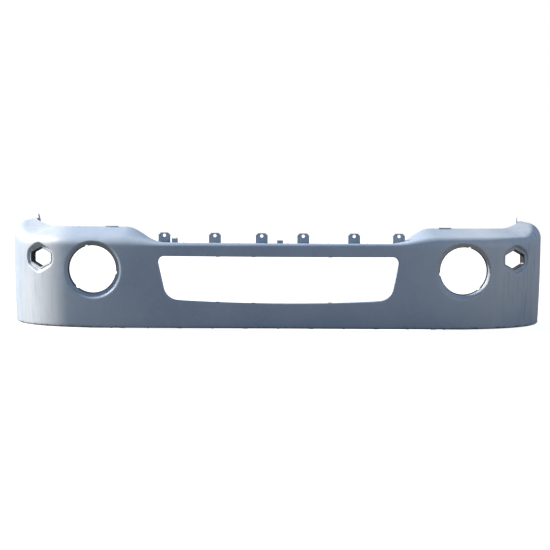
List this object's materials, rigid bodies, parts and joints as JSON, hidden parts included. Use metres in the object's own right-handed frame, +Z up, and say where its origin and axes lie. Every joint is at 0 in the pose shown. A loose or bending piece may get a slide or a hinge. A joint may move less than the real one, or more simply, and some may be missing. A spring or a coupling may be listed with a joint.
{
  "type": "front bumper cover",
  "caption": "Wide moulded front bumper cover with a central air intake, round fog lamp wells, six-sided marker lamp sockets and upright mounting tabs.",
  "frame": {"origin": "on the ground plane under the middle of the cover, at the middle of its width and depth", "axes": "+X to the right as seen from in front, -Y forwards out of the face, +Z up"},
  "size_m": [1.89, 0.48, 0.3795],
  "materials": {
    "primed_plastic": "sprayed blue-grey primer, satin, over black moulding",
    "primed_steel": "blue-grey primer over pressed steel",
    "black_plastic": "fine moulded grain",
    "dark_steel": "black electrocoat",
    "zinc_steel": "zinc plated"
  },
  "bodies": {
    "root": {"bumper_skin": "primed_plastic", "upper_retainer": "primed_steel", "upper_retainer_rivets": "zinc_steel", "centre_locator": "primed_plastic", "side_locator": "primed_plastic", "fog_lamp_ring_left": "black_plastic", "fog_lamp_ring_right": "black_plastic", "fog_ring_screws_left": "zinc_steel", "fog_ring_screws_right": "zinc_steel", "marker_sleeve_left": "black_plastic", "marker_sleeve_right": "black_plastic", "marker_sleeve_screws_left": "zinc_steel", "marker_sleeve_screws_right": "zinc_steel", "wing_bracket_left": "primed_steel", "wing_bracket_right": "primed_steel", "wing_bracket_rivets_left": "zinc_steel", "wing_bracket_rivets_right": "zinc_steel", "wheel_arch_nuts_left": "zinc_steel", "wheel_arch_nuts_right": "zinc_steel", "lower_stiffener": "black_plastic", "lower_stiffener_rivets": "zinc_steel", "lower_flange_nuts": "zinc_steel", "intake_grille_clips": "dark_steel"}
  },
  "joints": []
}
